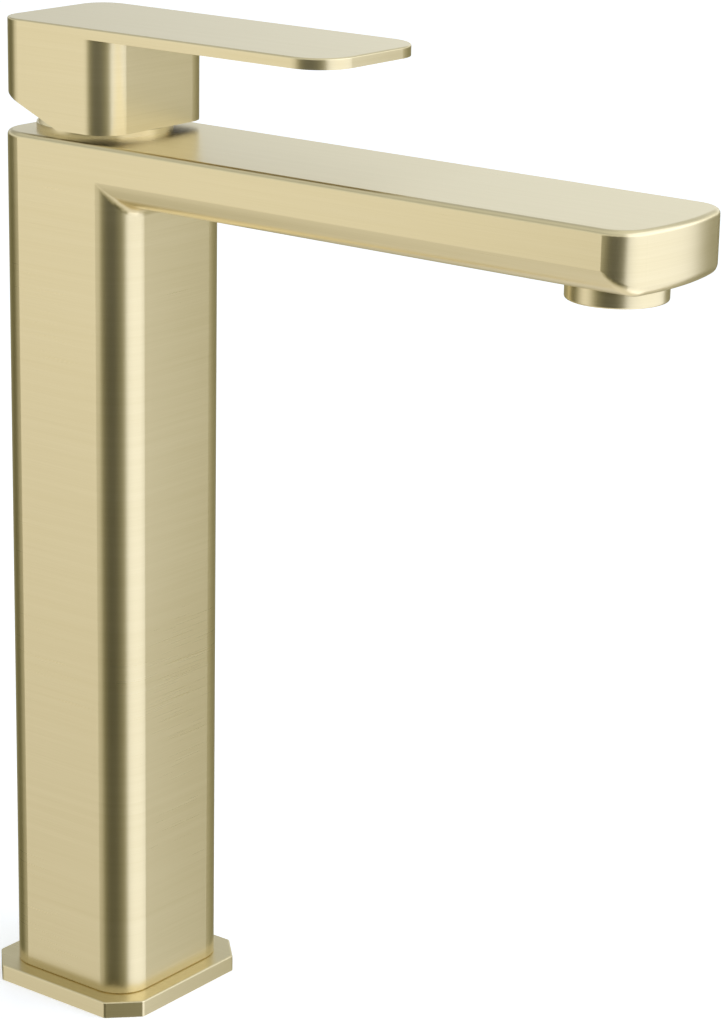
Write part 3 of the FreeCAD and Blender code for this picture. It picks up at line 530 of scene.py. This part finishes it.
# Front key light, a tall soft box close to the mixer.
KEY_AZIMUTH = 9
KEY_DISTANCE = 0.38
KEY_WIDTH, KEY_HEIGHT = 0.50, 0.9
KEY_RADIANCE = 0.84
KEY_TINT = (1.0, 1.1, 1.55)
KEY_TARGET = Vector((0, 0, 0.1))

# White stage, just below the mixer's foot.
STAGE_REACH = 8.0
STAGE_GAP = 0.1 * MM
STAGE_PAINT = (0.95, 0.95, 0.95, 1)
FLOOR_GLOW = 0.3
BACKDROP_GLOW = 0.8


def round_ramp(tree, turn, levels):
    """Brightness by azimuth; turn runs from 0 to 1 round the back, left, front and right."""
    stops = [(angle / 360 + 0.5, level / PEAK) for angle, level in levels]
    return tree.ramp(turn, stops) * PEAK


def build_world():
    """Studio round the mixer: walls, ceiling and lit ground, which the metal mirrors."""
    world = bpy.data.worlds.new("studio")
    bpy.context.scene.world = world
    world.use_nodes = True
    tree = Tree(world.node_tree)
    direction = tree.node("ShaderNodeTexCoord", {}, {}, out="Generated")
    x, y, z = tree.parts_of(direction)
    turn = x.math("ARCTAN2", -y) / (2 * math.pi) + 0.5
    height = z * 0.5 + 0.5
    upper = tree.ramp(height, WALL_ABOVE_FOOT)
    wall = blend(upper, round_ramp(tree, turn, WALL), round_ramp(tree, turn, WALL_FOOT))
    ceiling = round_ramp(tree, turn, CEILING) * tree.ramp(height, CEILING_FALL)
    below = blend(tree.ramp(height, GROUND_SHARE), GROUND_LEVEL, wall)
    above = tree.ramp(height, CEILING_SHARE)
    strength = blend(above, ceiling, below)
    lit = (strength * TINT_GAIN).math("MINIMUM", 1.0)
    wall_tint = tree.mix_colour(lit, DIM_WALL_TINT, LIT_WALL_TINT)
    colour = tree.mix_colour(above, wall_tint, CEILING_TINT)
    shader = tree.node("ShaderNodeBackground", {}, {"Color": colour, "Strength": strength})
    tree.node("ShaderNodeOutputWorld", {}, {"Surface": shader})


def stage_mesh(name, finish, corners, faces):
    """Part of the stage: in view, but neither mirrored in the metal nor in the lights' way."""
    mesh = bpy.data.meshes.new(name)
    mesh.from_pydata(corners, [], faces)
    mesh.materials.append(finish)
    thing = bpy.data.objects.new(name, mesh)
    thing.location.z = cad_low.z - STAGE_GAP
    thing.visible_glossy = False
    thing.visible_shadow = False
    bpy.context.scene.collection.objects.link(thing)
    return thing


def stage_white(name, glow):
    """Matt white paint that glows a little."""
    material, tree = material_tree(name)
    paint = tree.noise(tree.place(), scale=40.0)
    surface(tree, STAGE_PAINT, 0.85 + paint * 0.1,
            Emission_Color=(1, 1, 1, 1), Emission_Strength=glow)
    return material


def build_stage():
    """White floor with four far walls round it."""
    far = STAGE_REACH
    foot = [(-far, -far, 0.0), (far, -far, 0.0), (far, far, 0.0), (-far, far, 0.0)]
    head = [(x, y, far) for x, y, _ in foot]
    stage_mesh("floor", stage_white("floor_white", FLOOR_GLOW), foot, [(0, 1, 2, 3)])
    walls = [(side, (side + 1) % 4, (side + 1) % 4 + 4, side + 4) for side in range(4)]
    paint = stage_white("backdrop_white", BACKDROP_GLOW)
    backdrop = stage_mesh("backdrop", paint, foot + head, walls)
    backdrop.visible_diffuse = False


def build_key_light():
    """Soft box at the front, which the camera doesn't see."""
    data = bpy.data.lights.new("front_key", "AREA")
    data.color = KEY_TINT
    data.shape = "RECTANGLE"
    data.size, data.size_y = KEY_WIDTH, KEY_HEIGHT
    data.energy = KEY_RADIANCE * math.pi * KEY_WIDTH * KEY_HEIGHT
    light = bpy.data.objects.new("front_key", data)
    light.visible_camera = False
    back = heading(KEY_AZIMUTH, 0)
    light.location = KEY_TARGET + back * KEY_DISTANCE
    light.rotation_mode = "QUATERNION"
    light.rotation_quaternion = back.to_track_quat("Z", "Y")
    bpy.context.scene.collection.objects.link(light)


def build_camera():
    """Camera at the front left, rolled a little about its line of sight."""
    data = bpy.data.cameras.new("camera")
    data.lens = VIEW_LENS
    camera = bpy.data.objects.new("camera", data)
    back = heading(VIEW_AZIMUTH, VIEW_ELEVATION)
    level = Vector((0, 0, 1)).cross(back).normalized()
    upright = back.cross(level)
    roll = math.radians(VIEW_ROLL)
    right = level * math.cos(roll) + upright * math.sin(roll)
    up = upright * math.cos(roll) - level * math.sin(roll)
    camera.rotation_mode = "QUATERNION"
    camera.rotation_quaternion = Matrix((right, up, back)).transposed().to_quaternion()
    camera.location = VIEW_TARGET + back * VIEW_DISTANCE
    bpy.context.scene.collection.objects.link(camera)
    bpy.context.scene.camera = camera


bpy.context.scene.view_settings.view_transform = "Standard"
white_acetal = dress_cad_nodes()
build_threads()
build_honeycomb(white_acetal)
build_world()
build_key_light()
build_stage()
build_camera()
